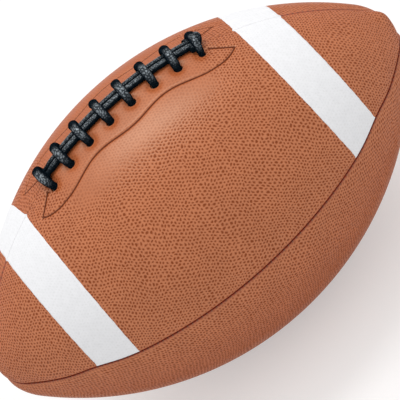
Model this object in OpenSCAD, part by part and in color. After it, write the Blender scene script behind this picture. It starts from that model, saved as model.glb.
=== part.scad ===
// American football with a four-panel sewn cover, white stripes and a laced slit.
// The ball lies on its belly with the lacing up. Its long axis runs along X.
// The origin is the point of the floor below the middle of the ball.

/* [Ball] */
// Length from tip to tip
ball_length = 289; // [276:1:295]
// Diameter at the middle
ball_diameter = 168; // [160:1:174]
// Radius of the rounded nose at each tip
nose_radius = 35; // [30:1:40]

/* [Cover] */
// Thickness of the composite leather panels
cover_t = 2; // [1.8:0.1:2.3]
// Depth of the turned-in seam flange below the inner face of the cover
seam_flange_depth = 4; // [3:0.5:5]
// Radius of the rounded valley along every seam
valley_radius = 1.8; // [1.5:0.1:2.2]
// Depth of the valley at the middle of the ball
valley_depth_middle = 1; // [0.7:0.1:1.2]
// Depth of the valley at the tips
valley_depth_tip = 1.6; // [1.3:0.1:1.8]

/* [Lining and bladder] */
// Thickness of the cloth lining behind each panel
lining_t = 0.8; // [0.5:0.1:1.2]
// Wall of the inflated bladder
bladder_t = 0.7; // [0.5:0.1:1]
// Gap left between one layer and the next
layer_gap = 0.1; // [0.08:0.01:0.15]

/* [Lacing] */
// Number of cross laces
lace_crosses = 8; // [6:1:8]
// Distance of the first and last cross from the pointed ends of the facing
lacing_end_gap = 15.3; // [14.5:0.1:16]
// Distance of the lace holes from the seam
lace_hole_reach = 11; // [10.5:0.1:12]
// Diameter of the punched lace holes
lace_hole_d = 5.2; // [5:0.1:5.6]
// Width of the lace
lace_w = 4.4; // [4:0.1:4.5]
// Thickness of the lace where it lies flat
lace_t = 2.8; // [2.6:0.1:3]
// Distance of the two long strands from the seam
strand_reach = 2.65; // [2.6:0.05:2.8]

/* [Facing and tongue] */
// Thickness of the leather facing behind the lace holes
facing_t = 1.2; // [1:0.1:1.5]
// Mean distance of the facing stitch line from the seam
facing_reach = 21; // [20:0.5:22]
// Rise and fall of the wavy stitch line
facing_wave = 1.9; // [1:0.1:2.2]
// Length over which the stitch line falls to each pointed end
facing_fall_length = 19; // [17.5:0.5:20.5]
// Gap along the surface between the pointed ends of the facing and the stripes
facing_to_stripe = 8.46; // [7.5:0.1:10]
// Distance of the pointed ends of the facing from the seam
facing_point_reach = 15.3; // [14:0.1:16]
// Leather outside the facing stitch line
facing_margin = 2.5; // [2:0.1:3]
// Width of the tongue under the lacing
tongue_w = 38; // [34:1:40]
// Length of the tongue
tongue_length = 148; // [146:1:152]
// Thickness of the tongue
tongue_t = 1.4; // [1:0.1:1.8]

/* [Stripes] */
// Width of the white stripes along the surface
stripe_w = 25.4; // [22:0.1:28]
// Distance of their outer edge from the tip along the surface
stripe_from_tip = 76.2; // [74:0.1:80]
// Thickness of the stripe coating
stripe_t = 0.25; // [0.15:0.05:0.3]

/* [Thread] */
// Diameter of the sewing thread
thread_d = 0.7; // [0.6:0.05:0.8]
// Length of a stitch in the seam flanges
stitch_length = 14; // [12:0.5:18]

/* [Valve] */
// Diameter of the bore for an inflating needle
needle_d = 2; // [1.8:0.1:2.2]
// Diameter of the self-sealing plug
plug_d = 4.4; // [4:0.1:5]
// Length of the self-sealing plug
plug_length = 8; // [7:0.5:9]
// Diameter of the rubber neck that shows in the cover
neck_d = 9; // [8:0.5:10]
// Diameter of the patch that joins the neck to the bladder
patch_d = 24; // [20:1:28]
// Thickness of that patch
patch_t = 1; // [0.8:0.1:1.5]

/* [Hidden] */

// Turn of each seam about the long axis, from the laces over the near side
lace_seam = 0;
near_seam = 90;
belly_seam = lace_seam + 180;
far_seam = near_seam + 180;
whole_turn = 360;

// Turn of the valve, in the middle of the far belly panel
valve_turn = (belly_seam + far_seam) / 2;

// The side of the ball is one arc and each nose another, and they meet smoothly
ball_r = ball_diameter / 2;
half_length = ball_length / 2;
function side_arc(half, radius, nose) = ((half - nose) ^ 2 + radius ^ 2 - nose ^ 2) / (2 * (radius - nose));
side_r = side_arc(half_length, ball_r, nose_radius);
nose_centre = half_length - nose_radius;
nose_turn = atan2(nose_centre, side_r - ball_r);

// The bottom of the seam valley follows an oval of its own, deeper at the tips
valley_r = ball_r - valley_depth_middle;
valley_nose = nose_radius - valley_depth_middle;
valley_half = half_length - valley_depth_tip;
valley_side_r = side_arc(valley_half, valley_r, valley_nose);
valley_nose_centre = valley_half - valley_nose;
valley_nose_turn = atan2(valley_nose_centre, valley_side_r - valley_r);

// Stripe edges as turns about the centre of the side arc
function turn_of(arc, radius) = arc / radius * 180 / PI;
nose_arc = nose_radius * (90 - nose_turn) * PI / 180;
stripe_outer = nose_turn - turn_of(stripe_from_tip - nose_arc, side_r);
stripe_inner = stripe_outer - turn_of(stripe_w, side_r);
stripe_margin = 2;

// The facing ends short of the stripes, and the lacing short of the facing's ends
facing_point = side_r * stripe_inner * PI / 180 - facing_to_stripe;
facing_wave_length = facing_point - facing_fall_length;
lace_pitch = 2 * (facing_point - lacing_end_gap) / (lace_crosses - 1);

// Depths of the layers below the outer surface
lining_depth = cover_t + layer_gap;
inner_depth = lining_depth + lining_t + layer_gap;
facing_bottom = inner_depth + facing_t;
flange_bottom = cover_t + seam_flange_depth;
thread_depth = cover_t + seam_flange_depth / 2;
seam_half_w = cover_t + thread_d + 2 * layer_gap;

// The lace is a round tube that is pressed flat towards the surface
lace_press = lace_t / lace_w;
lace_r = lace_w / 2;
lace_gap = 0.55;
strand_height = (layer_gap + lace_t / 2) / lace_press;
cross_height = strand_height + lace_w + lace_gap / lace_press;
inner_bend = 3;
inner_start = facing_bottom / lace_press;
inner_height = inner_start + inner_bend;
loop_bulge = 1.1;
loop_lead = 3;
tail_length = 15;
first_cross = -lace_pitch * (lace_crosses - 1) / 2;
tongue_depth = inner_height * lace_press + lace_t / 2 + 2 * layer_gap;
tongue_bottom = tongue_depth + tongue_t;

// The slit between the lace panels, and the pocket for tongue and facings
slit_half = -first_cross + lace_w * 2;
pocket_gap = 1;
pocket_half = max(tongue_length / 2, facing_point) + pocket_gap;
pocket_reach = max(tongue_w / 2, facing_reach + facing_wave + facing_margin) + pocket_gap;

// Widest cut or block that is ever needed
reach = ball_length;
overrun = 1;
fine = 240;
round_steps = 120;
small_steps = 24;
lace_sides = 8;
thread_sides = 6;

leather = [0.70, 0.40, 0.25];
cloth = [0.86, 0.83, 0.76];
hide = [0.55, 0.36, 0.22];
lace_black = [0.10, 0.11, 0.12];
stripe_white = [0.94, 0.94, 0.93];
rubber_black = [0.12, 0.12, 0.12];
rubber_red = [0.55, 0.16, 0.12];
thread_brown = [0.36, 0.17, 0.10];

// Half of the ball's outline beside its axis, drawn in by inset
module half_outline(inset) {
    edge = [reach * cos(nose_turn), reach * sin(nose_turn)];
    intersection() {
        translate([ball_r - side_r, 0]) circle(r = side_r - inset, $fn = fine);
        polygon([
            [0, -nose_centre], [edge.x, -nose_centre - edge.y],
            [edge.x, nose_centre + edge.y], [0, nose_centre]
        ]);
    }
    for (end = [-1, 1])
        intersection() {
            translate([0, end * nose_centre]) circle(r = nose_radius - inset, $fn = fine);
            polygon([[0, end * nose_centre], [edge.x, end * (nose_centre + edge.y)], [0, end * reach]]);
        }
}

// The whole ball as a solid, drawn in by inset
module ball(inset) {
    translate([0, 0, ball_r])
        rotate([0, 90, 0])
            rotate_extrude($fn = round_steps) half_outline(inset);
}

// The space between two seams, kept clear of the planes of both
module sector(from, to, clear) {
    translate([0, 0, ball_r])
        intersection() {
            rotate([from, 0, 0])
                translate([-reach, -clear - reach, -reach])
                    cube([2 * reach, reach, 2 * reach]);
            rotate([to, 0, 0])
                translate([-reach, clear, -reach])
                    cube([2 * reach, reach, 2 * reach]);
        }
}

// Puts its children on the surface, with +Z pointing out of the ball
module on_surface(along, turn, height) {
    translate([0, 0, ball_r])
        rotate([turn, 0, 0])
            translate([0, 0, ball_r - side_r])
                rotate([0, turn_of(along, side_r), 0])
                    translate([0, 0, side_r + height])
                        children();
}

// The same place for a point given as distance along, distance across and height
function ball_point(p) =
    let (
        swing = turn_of(p.x, side_r),
        turn = turn_of(p.y, ball_r),
        out = (side_r + p.z) * cos(swing) - side_r + ball_r
    )
    [(side_r + p.z) * sin(swing), -out * sin(turn), ball_r + out * cos(turn)];

// Valley along two opposite seams, as one closed ring of round section
module valley_ring(turn) {
    translate([0, 0, ball_r])
        rotate([turn + 90, 0, 0])
            for (half = [0, 180])
                rotate([0, 0, half]) {
                    translate([0, valley_r - valley_side_r, 0])
                        rotate([0, 0, 90 - valley_nose_turn])
                            rotate_extrude(angle = 2 * valley_nose_turn, $fn = fine)
                                translate([valley_side_r + valley_radius, 0])
                                    circle(r = valley_radius, $fn = small_steps);
                    translate([valley_nose_centre, 0, 0])
                        rotate([0, 0, valley_nose_turn - 90])
                            rotate_extrude(angle = 180 - 2 * valley_nose_turn, $fn = fine)
                                translate([valley_nose + valley_radius, 0])
                                    circle(r = valley_radius, $fn = small_steps);
                }
}

// Places of the stitches along a seam; the lace seam is not sewn at the slit
stitch_count = 2 * floor(side_r * nose_turn * PI / 180 / stitch_length) - 1;
function stitch_places(turn) = [
    for (i = [0:stitch_count - 1])
        let (along = (i - (stitch_count - 1) / 2) * stitch_length)
            if (turn != lace_seam || abs(along) > slit_half) along
];

// A pulled stitch is thinner than the thread that runs along the flange
stitch_pull_share = 0.7;

stitch_hole_length = 2 * (cover_t + overrun);

// Round rods across both flanges of a seam, for the stitches or their holes
module stitch_rods(turn, d, length) {
    for (along = stitch_places(turn))
        on_surface(along, turn, -thread_depth)
            rotate([90, 0, 0])
                cylinder(d = d, h = length, center = true, $fn = small_steps);
}

// Holes for the lace on one side of the seam, and the notch where its ends go in
module lace_holes(side) {
    floor_depth = facing_bottom + overrun;
    depth = floor_depth + overrun;
    for (i = [0:lace_crosses - 1])
        on_surface(first_cross + i * lace_pitch, side * turn_of(lace_hole_reach, ball_r), -floor_depth)
            cylinder(d = lace_hole_d, h = depth, $fn = fine);
    on_surface(first_cross, side * turn_of(strand_reach, ball_r), -floor_depth) {
        cylinder(d = lace_hole_d, h = depth, $fn = fine);
        translate([-lace_hole_d / 2, side > 0 ? 0 : -strand_reach, 0])
            cube([lace_hole_d, strand_reach, depth]);
    }
}

// Room for the valve neck through the cover, the lining and the bladder
module valve_hole() {
    depth = inner_depth + bladder_t + overrun;
    on_surface(0, valve_turn, -depth)
        cylinder(d = neck_d + 2 * layer_gap, h = depth + overrun, $fn = fine);
}

// One leather panel with its two turned-in seam flanges
module cover_panel(from, to) {
    difference() {
        intersection() {
            union() {
                difference() {
                    ball(0);
                    ball(cover_t);
                }
                difference() {
                    ball(cover_t / 2);
                    ball(flange_bottom);
                    sector(from, to, cover_t);
                }
            }
            sector(from, to, 0);
        }
        valley_ring(from);
        valley_ring(to);
        stitch_rods(from, thread_d + layer_gap, stitch_hole_length);
        stitch_rods(to % whole_turn, thread_d + layer_gap, stitch_hole_length);
    }
}

// The flanges stop at the ends of the slit, where the facings take over
module slit_room() {
    intersection() {
        ball(cover_t);
        translate([-slit_half, -cover_t - overrun, ball_r])
            cube([2 * slit_half, 2 * (cover_t + overrun), reach]);
    }
}

module lace_panel(from, to, side) {
    difference() {
        cover_panel(from, to);
        slit_room();
        lace_holes(side);
    }
}

module cover_lace_near() {
    color(leather) lace_panel(lace_seam, near_seam, 1);
}

module cover_lace_far() {
    color(leather) lace_panel(far_seam, lace_seam + whole_turn, -1);
}

module cover_belly_near() {
    color(leather) cover_panel(near_seam, belly_seam);
}

module cover_belly_far() {
    color(leather)
        difference() {
            cover_panel(belly_seam, far_seam);
            valve_hole();
        }
}

// Cloth backing of one panel, cut short of the seam flanges
module lining_panel(from, to) {
    intersection() {
        difference() {
            ball(lining_depth);
            ball(lining_depth + lining_t);
        }
        sector(from, to, seam_half_w);
    }
}

module lining_lace_near() {
    color(cloth)
        difference() {
            lining_panel(lace_seam, near_seam);
            lace_holes(1);
        }
}

module lining_lace_far() {
    color(cloth)
        difference() {
            lining_panel(far_seam, lace_seam + whole_turn);
            lace_holes(-1);
        }
}

module lining_belly_near() {
    color(cloth) lining_panel(near_seam, belly_seam);
}

module lining_belly_far() {
    color(cloth)
        difference() {
            lining_panel(belly_seam, far_seam);
            valve_hole();
        }
}

// Lockstitch: one thread along each side of the flanges, tied through the holes
thread_end = 2 * thread_d;
module thread_run(turn, from, to) {
    side_shift = cover_t + thread_d / 2 + layer_gap / 2;
    run_r = side_r - thread_depth;
    for (side = [-1, 1])
        translate([0, 0, ball_r])
            rotate([turn + 90, 0, 0])
                translate([0, ball_r - side_r, side * side_shift])
                    rotate([0, 0, 90 - turn_of(to, side_r)])
                        rotate_extrude(angle = turn_of(to - from, side_r), $fn = fine)
                            translate([run_r, 0])
                                circle(d = thread_d, $fn = small_steps);
}

module seam_thread(turn) {
    places = stitch_places(turn);
    last = places[len(places) - 1];
    first_after_slit = min([for (along = places) if (along > 0) along]);
    color(thread_brown)
        union() {
            if (turn == lace_seam) {
                thread_run(turn, first_after_slit - thread_end, last + thread_end);
                thread_run(turn, -last - thread_end, -first_after_slit + thread_end);
            } else {
                thread_run(turn, -last - thread_end, last + thread_end);
            }
            stitch_rods(turn, thread_d * stitch_pull_share, 2 * cover_t + thread_d + layer_gap);
        }
}

module seam_thread_lace() {
    seam_thread(lace_seam);
}

module seam_thread_near() {
    seam_thread(near_seam);
}

module seam_thread_belly() {
    seam_thread(belly_seam);
}

module seam_thread_far() {
    seam_thread(far_seam);
}

// How sharply the stitch line falls towards its pointed ends
facing_fall_power = 1.6;

// Distance of the facing stitch line from the seam, at a place along the ball
function facing_line(along) =
    let (
        a = abs(along),
        wave = facing_reach + facing_wave * cos(360 * along / facing_wave_length),
        fall = facing_reach + facing_wave - facing_point_reach,
        share = (a - facing_wave_length) / facing_fall_length
    )
    a < facing_wave_length ? wave : facing_reach + facing_wave - fall * max(share, 0) ^ facing_fall_power;

facing_steps = 48;
facing_end = [slit_half - lace_w, strand_reach + lace_w];
facing_ends = [for (i = [0:facing_steps]) facing_point * (2 * i / facing_steps - 1)];

// Leather strip behind the lace holes, in plan from its seam edge to its wavy edge
module facing(side) {
    inner_edge = cover_t / 2;
    difference() {
        intersection() {
            difference() {
                ball(inner_depth);
                ball(facing_bottom);
            }
            translate([0, 0, ball_r])
                linear_extrude(height = reach)
                    polygon([
                        [facing_point, -side * inner_edge],
                        [-facing_point, -side * inner_edge],
                        for (x = facing_ends) [x, -side * (facing_line(x) + facing_margin)]
                    ]);
        }
        lace_holes(side);
        for (end = [-1, 1])
            translate([end > 0 ? slit_half : -facing_point - overrun, side > 0 ? -seam_half_w : 0, ball_r])
                cube([facing_point - slit_half + overrun, seam_half_w, reach]);
    }
}

module facing_near() {
    color(hide) facing(1);
}

module facing_far() {
    color(hide) facing(-1);
}

// Direction vectors and a side vector carried along a path without twist
function unit(v) = v / norm(v);
function headings(p) = [
    for (i = [0:len(p) - 1]) unit(p[min(i + 1, len(p) - 1)] - p[max(i - 1, 0)])
];
function square_to(v, heading) = unit(v - heading * (v * heading));
function carried(t, start) = [
    for (i = 0, s = square_to(start, t[0]); i < len(t); i = i + 1,
         s = i < len(t) ? square_to(s, t[i]) : s) s
];

// Points of the rings round a path, ring after ring
function ring_points(p, radius, sides, start) =
    let (t = headings(p), s = carried(t, start))
    [
        for (i = [0:len(p) - 1], k = [0:sides - 1])
            p[i] + radius * (cos(360 * k / sides) * s[i] + sin(360 * k / sides) * cross(t[i], s[i]))
    ];

// Triangles of a tube with flat ends
function tube_faces(rings, sides) = [
    for (i = [0:rings - 2], k = [0:sides - 1])
        let (a = i * sides + k, b = i * sides + (k + 1) % sides)
            each [[a, b + sides, b], [a, a + sides, b + sides]],
    for (k = [1:sides - 2]) [0, k, k + 1],
    for (k = [1:sides - 2])
        let (last = (rings - 1) * sides) [last, last + k + 1, last + k]
];

// Stitch line of one facing, lying on the cover as a raised thread
module facing_stitches(side) {
    points = [
        [-facing_end.x, facing_end.y, 0],
        for (x = facing_ends) [x, facing_line(x), 0],
        [facing_end.x, facing_end.y, 0]
    ];
    height = thread_d / 2 + layer_gap;
    line = [for (p = points) [p.x, side * p.y, height]];
    rings = [for (p = ring_points(line, thread_d / 2, thread_sides, [0, 0, 1])) ball_point(p)];
    color(thread_brown)
        polyhedron(points = rings, faces = tube_faces(len(line), thread_sides), convexity = 8);
}

module facing_stitches_near() {
    facing_stitches(1);
}

module facing_stitches_far() {
    facing_stitches(-1);
}

// Strip that keeps the lacing off the bladder
module tongue() {
    color(hide)
        intersection() {
            difference() {
                ball(tongue_depth);
                ball(tongue_bottom);
            }
            translate([-tongue_length / 2, -tongue_w / 2, ball_r])
                cube([tongue_length, tongue_w, reach]);
        }
}

// Quarter turn of the lace between straight up or down and a flat heading
bend_steps = 4;
function bend(at, heading, height, radius, sign, order) = [
    for (i = order)
        let (a = 90 * i / bend_steps)
            [
                at.x + heading.x * radius * (1 - cos(a)),
                at.y + heading.y * radius * (1 - cos(a)),
                sign * (height - radius + radius * sin(a))
            ]
];
rising = [0:bend_steps];
falling = [bend_steps:-1:0];

// Half a cross lace as shares of the way from a strand to its hole and of its height:
// level over the strand, then down a slope and into the hole
cross_shares = [[0.12, 1], [0.42, 0.86], [0.68, 0.62], [0.88, 0.36], [1, 0]];
function half_cross(x, side, order) = [
    for (i = order)
        let (y = strand_reach + cross_shares[i].x * (lace_hole_reach - strand_reach))
            [x, side * y, cross_shares[i].y * cross_height]
];

// One cross lace, from inside the far hole over both strands into the near hole
function cross_lace(x) = concat(
    half_cross(x, -1, [len(cross_shares) - 1:-1:0]),
    [[x, 0, cross_height]],
    half_cross(x, 1, [0:len(cross_shares) - 1])
);

// Hidden run from one hole to the next, between the facings and the tongue
function inner_run(from, to) =
    let (heading = unit(to - from))
    concat(
        bend(from, heading, inner_height, inner_bend, -1, rising),
        bend(to, -heading, inner_height, inner_bend, -1, falling)
    );

// Long strand on one side of the seam, lying on the cover
strand_steps = 12;
function strand(side, order) = [
    for (i = order)
        let (x = first_cross + inner_bend + i * (-2 * first_cross - inner_bend) / strand_steps)
            [x, side * strand_reach, strand_height]
];

// The strands meet in a rounded loop past the last cross
loop_r = strand_reach + loop_bulge;
loop_steps = 8;
loop_turn = 75;
function strand_loop() = [
    for (i = [0:loop_steps])
        let (a = loop_turn - 2 * loop_turn * i / loop_steps)
            [-first_cross + loop_lead + loop_r * cos(a), loop_r * sin(a), strand_height]
];

// Where a strand turns down into the notch under the first cross
function strand_end(side, order) =
    bend([first_cross, side * strand_reach], [1, 0], strand_height, inner_bend, 1, order);

near_hole = function (i) [first_cross + i * lace_pitch, lace_hole_reach];
far_hole = function (i) [first_cross + i * lace_pitch, -lace_hole_reach];
notch = [first_cross, strand_reach];

// The whole lace from its first tail to its last: up out of the notch, along
// the seam, round the loop, back, and then cross by cross to the other end
lace_path = concat(
    [[notch.x - tail_length, notch.y, -inner_height]],
    bend(notch, [-1, 0], inner_height, inner_bend, -1, falling),
    strand_end(1, rising),
    strand(1, [1:strand_steps]),
    strand_loop(),
    strand(-1, [strand_steps:-1:1]),
    strand_end(-1, falling),
    inner_run([notch.x, -notch.y], far_hole(0)),
    [
        for (i = [0:lace_crosses - 1])
            each concat(
                cross_lace(first_cross + i * lace_pitch),
                i < lace_crosses - 1 ? inner_run(near_hole(i), far_hole(i + 1)) : []
            )
    ],
    bend(near_hole(lace_crosses - 1), [1, 0], inner_height, inner_bend, -1, rising),
    [[-first_cross + tail_length, lace_hole_reach, -inner_height]]
);

// Least gap of the lace to itself, between stretches well apart along it
function to_stretch(p, a, b) =
    let (ab = b - a, share = max(0, min(1, (p - a) * ab / (ab * ab))))
    norm(p - a - share * ab);
function along_lace(p) = [
    for (i = 0, d = 0; i < len(p); d = d + (i + 1 < len(p) ? norm(p[i + 1] - p[i]) : 0), i = i + 1) d
];
lace_run = along_lace(lace_path);
apart = 3 * lace_w;
lace_self_gap = lace_press * (min([
    for (i = [0:len(lace_path) - 1], j = [0:len(lace_path) - 2])
        if (lace_run[i] - lace_run[j + 1] > apart || lace_run[j] - lace_run[i] > apart)
            to_stretch(lace_path[i], lace_path[j], lace_path[j + 1])
]) - lace_w);
echo(lace_self_gap_mm = lace_self_gap);  // lace

// One unbroken lace
module lace() {
    rings = ring_points(lace_path, lace_r, lace_sides, [0, 1, 0]);
    color(lace_black)
        polyhedron(
            points = [for (p = rings) ball_point([p.x, p.y, p.z * lace_press])],
            faces = tube_faces(len(lace_path), lace_sides),
            convexity = 20
        );
}

// White coating on a lace panel, as a thin shell between two turns of the side arc
module stripe(turn_from, turn_to, end) {
    mean_r = (side_r * cos((stripe_inner + stripe_outer) / 2)) - side_r + ball_r;
    edge_turn = turn_of(stripe_margin, mean_r);
    from = end * stripe_inner;
    to = end * stripe_outer;
    color(stripe_white)
        translate([0, 0, ball_r])
            rotate([turn_from, 0, 0])
                rotate(a = 180, v = [1, 0, 1])
                    rotate([0, 0, edge_turn])
                        rotate_extrude(angle = turn_to - turn_from - 2 * edge_turn, $fn = round_steps)
                            intersection() {
                                translate([ball_r - side_r, 0])
                                    difference() {
                                        circle(r = side_r + layer_gap / 2 + stripe_t, $fn = fine);
                                        circle(r = side_r + layer_gap / 2, $fn = fine);
                                    }
                                translate([ball_r - side_r, 0])
                                    polygon([
                                        [0, 0],
                                        [reach * cos(from), reach * sin(from)],
                                        [reach * cos(to), reach * sin(to)]
                                    ]);
                            }
}

module stripe_near_right() {
    stripe(lace_seam, near_seam, 1);
}

module stripe_near_left() {
    stripe(lace_seam, near_seam, -1);
}

module stripe_far_right() {
    stripe(far_seam, lace_seam + whole_turn, 1);
}

module stripe_far_left() {
    stripe(far_seam, lace_seam + whole_turn, -1);
}

// The room that the bladder fills, drawn in by inset: it gives way to the
// flanges along the seams and to the tongue under the lacing
module bladder_room(inset) {
    slot_half = seam_half_w + layer_gap + inset;
    difference() {
        ball(inner_depth + inset);
        for (turn = [lace_seam, near_seam])
            difference() {
                translate([0, 0, ball_r])
                    rotate([turn, 0, 0])
                        translate([-reach, -slot_half, -reach])
                            cube([2 * reach, 2 * slot_half, 2 * reach]);
                ball(flange_bottom + layer_gap + inset);
            }
        difference() {
            translate([-pocket_half - inset, -pocket_reach - inset, ball_r])
                cube([2 * (pocket_half + inset), 2 * (pocket_reach + inset), reach]);
            ball(tongue_bottom + layer_gap + inset);
        }
    }
}

module bladder() {
    color(rubber_red)
        difference() {
            bladder_room(0);
            bladder_room(bladder_t);
            valve_hole();
        }
}

// Rubber neck that carries the plug, on a patch inside the bladder
plug_top = 1;
neck_recess = 0.4;
plug_head_share = 1.5;
neck_bottom = plug_top + plug_length;
module valve_neck() {
    patch_depth = inner_depth + bladder_t + layer_gap;
    color(rubber_black)
        difference() {
            union() {
                intersection() {
                    ball(neck_recess);
                    on_surface(0, valve_turn, -neck_bottom)
                        cylinder(d = neck_d, h = neck_bottom + overrun, $fn = fine);
                }
                intersection() {
                    difference() {
                        ball(patch_depth);
                        ball(patch_depth + patch_t);
                    }
                    on_surface(0, valve_turn, -neck_bottom)
                        cylinder(d = patch_d, h = neck_bottom, $fn = fine);
                }
            }
            on_surface(0, valve_turn, -neck_bottom - overrun)
                cylinder(d = plug_d, h = neck_bottom + 2 * overrun, $fn = fine);
        }
}

// Self-sealing plug with the bore for an inflating needle
module valve_plug() {
    head_t = patch_t;
    head_d = plug_d * plug_head_share;
    color(rubber_red)
        on_surface(0, valve_turn, -neck_bottom)
            difference() {
                union() {
                    cylinder(d = plug_d - layer_gap, h = plug_length, $fn = fine);
                    translate([0, 0, -layer_gap / 2 - head_t])
                        cylinder(d = head_d, h = head_t, $fn = fine);
                    translate([0, 0, -layer_gap / 2])
                        cylinder(d = plug_d - layer_gap, h = layer_gap, $fn = fine);
                }
                translate([0, 0, -head_t - overrun])
                    cylinder(d = needle_d, h = plug_length + head_t + 2 * overrun, $fn = fine);
            }
}

cover_lace_near();
cover_lace_far();
cover_belly_near();
cover_belly_far();
lining_lace_near();
lining_lace_far();
lining_belly_near();
lining_belly_far();
seam_thread_lace();
seam_thread_near();
seam_thread_belly();
seam_thread_far();
facing_near();
facing_far();
facing_stitches_near();
facing_stitches_far();
tongue();
lace();
stripe_near_right();
stripe_near_left();
stripe_far_right();
stripe_far_left();
bladder();
valve_neck();
valve_plug();
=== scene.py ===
import math

import bmesh
import bpy
import numpy as np
from mathutils import Matrix, Vector

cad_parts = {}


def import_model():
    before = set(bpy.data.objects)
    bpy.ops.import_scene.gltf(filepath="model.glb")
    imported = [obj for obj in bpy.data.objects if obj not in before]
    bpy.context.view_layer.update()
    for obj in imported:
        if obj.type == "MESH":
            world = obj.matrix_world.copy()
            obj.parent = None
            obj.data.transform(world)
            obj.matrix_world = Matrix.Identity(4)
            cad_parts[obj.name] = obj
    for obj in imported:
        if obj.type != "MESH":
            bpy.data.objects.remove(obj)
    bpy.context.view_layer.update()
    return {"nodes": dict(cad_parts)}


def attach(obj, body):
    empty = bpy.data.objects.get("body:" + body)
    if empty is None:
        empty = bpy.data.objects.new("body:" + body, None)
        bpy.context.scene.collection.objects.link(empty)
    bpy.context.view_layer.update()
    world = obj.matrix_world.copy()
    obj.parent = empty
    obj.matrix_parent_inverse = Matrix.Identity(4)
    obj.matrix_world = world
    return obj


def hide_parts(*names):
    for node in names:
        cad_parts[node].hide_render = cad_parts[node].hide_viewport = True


# Looks of the american football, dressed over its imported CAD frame.
# Lengths are in metres, and the shapes follow the same driving sizes as the CAD model.

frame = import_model()

MM = 0.001
BODY = "root"

# The ball's outline: one arc along the side and one round each nose
BALL_R = 84 * MM
HALF_LENGTH = 144.5 * MM
NOSE_R = 35 * MM
NOSE_CENTRE = HALF_LENGTH - NOSE_R
SIDE_R = (NOSE_CENTRE ** 2 + BALL_R ** 2 - NOSE_R ** 2) / (2 * (BALL_R - NOSE_R))
NOSE_TURN = math.atan2(NOSE_CENTRE, SIDE_R - BALL_R)
SIDE_ARC = SIDE_R * NOSE_TURN
QUARTER = math.pi / 2
TIP_HOLE_R = 0.6 * MM
TIP_ARC = SIDE_ARC + NOSE_R * (QUARTER - NOSE_TURN) - TIP_HOLE_R

# The side seams aren't quite straight: before the tips they lie a little towards the laces
WANDER = 1.8 * MM
WANDER_PLACE = 106 * MM
WANDER_W = 15 * MM

# Turns of the seams about the long axis, from the laces over the near side
LACE_SEAM = 0.0
NEAR_SEAM = QUARTER
FAR_SEAM = -QUARTER
BELLY_SEAM = 2 * QUARTER

# The cover and the rolled shoulders along its seams: the lace seam is drawn tighter than the others
COVER_T = 2 * MM
FLANGE_BOTTOM = 6 * MM
SEAM_GAP = 0.03 * MM
SHOULDER_TIP = 2.4 * MM
SEAM_SINK = 0.25 * MM
SEAM_SINK_TIP = 0.9 * MM
SEAM_SINK_W = 4.5 * MM
LACE_SHOULDERS = (0.55 * MM, 1.5 * MM)
BELLY_SHOULDERS = (1.5 * MM, 1.5 * MM)
TIP_START = 96 * MM

# The cover bulges a little where the near lace panel ends at the right tip
LOBE_STATION = TIP_ARC - 15.5 * MM
LOBE_TURN = math.radians(24)
LOBE_RISE = 2.6 * MM
LOBE_W = 6.5 * MM

# Beside the lacing, where the highlight falls, the grain is painted weaker as the highlight washes it out,
# and between the stripes the lace seam's stain is narrower
WASH_WIDTH = 50 * MM
WASH_HALF = 60 * MM
WASH_FADE = 20 * MM
LACE_SEAM_SHARPNESS = 5
LACE_SEAM_FADE = 1.3 * MM

# A panel's grid: finer near the lacing, the valve and the seams, and coarser inside
FINE_STEP = 0.5 * MM
COARSE_STEP = 1.4 * MM
EDGE_STEP = 0.16 * MM
EDGE_GROWTH = 0.28
INNER_SKIP = 5
LACE_ZONE_HALF = 73 * MM
LACE_ZONE = (0.7 * MM, 26 * MM)

# Inside, a panel makes room for its flanges, which get shorter towards the tips
INNER_SQUEEZE = 0.05
FLANGE_TIP_LOSS = 0.4
LEAST_FOOT = 0.3
TURN_LIMIT = 0.61
SHARP_ANGLE = math.radians(55)

# The lacing, as in the CAD model, with wider crosses over narrower strands, on a low raised ridge
RIDGE = 1.3 * MM
RIDGE_W = 10 * MM
RIDGE_HALF = 62 * MM
RIDGE_FADE = 12 * MM
LACE_CROSSES = 8
LACE_PITCH = 15.2 * MM
FIRST_CROSS = -LACE_PITCH * (LACE_CROSSES - 1) / 2
SLIT_HALF = -FIRST_CROSS + 8 * MM
LACE_HOLE_REACH = 9.6 * MM
LACE_HOLE_R = 2.6 * MM
NOTCH_REACH = 3.2 * MM
NOTCH_R = 2.2 * MM
LAST_THINNING = 0.22
LACE_PRESS = 0.78
LACE_SQUARENESS = 2.3
LACE_SIDES = 28
LACE_STEP = 0.8 * MM
CROSS_R = 2.4 * MM
STRAND_R = 2.05 * MM
STRAND_REACH = 2.2 * MM
STRAND_POINTS = 24
LACE_SKIN_GAP = 0.1 * MM
STRAND_HEIGHT = LACE_SKIN_GAP / LACE_PRESS + STRAND_R
CROSS_HEIGHT = STRAND_HEIGHT + STRAND_R + CROSS_R + LACE_SKIN_GAP
HIDDEN_R = 2.1 * MM
HIDDEN_REACH = 11 * MM
INNER_LEVEL = -8.6 * MM
BEND_R = 3 * MM
BEND_POINTS = 5
TAIL_LENGTH = 15 * MM
LOOP_LEAD = -2.2 * MM
LOOP_R = 4.5 * MM
LOOP_RISE = 3.7 * MM
LOOP_WIDEN = 1.3
LOOP_TURN = math.radians(100)
LOOP_POINTS = 9

# How much painted highlight and gloss the strands and their loop get, and the length over which a strand's
# share sets in
NEAR_STRAND_HIGHLIGHT = 0.8
FAR_STRAND_HIGHLIGHT = 0.5
LOOP_HIGHLIGHT = 0.25
STRAND_END_FADE = 12 * MM
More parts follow.
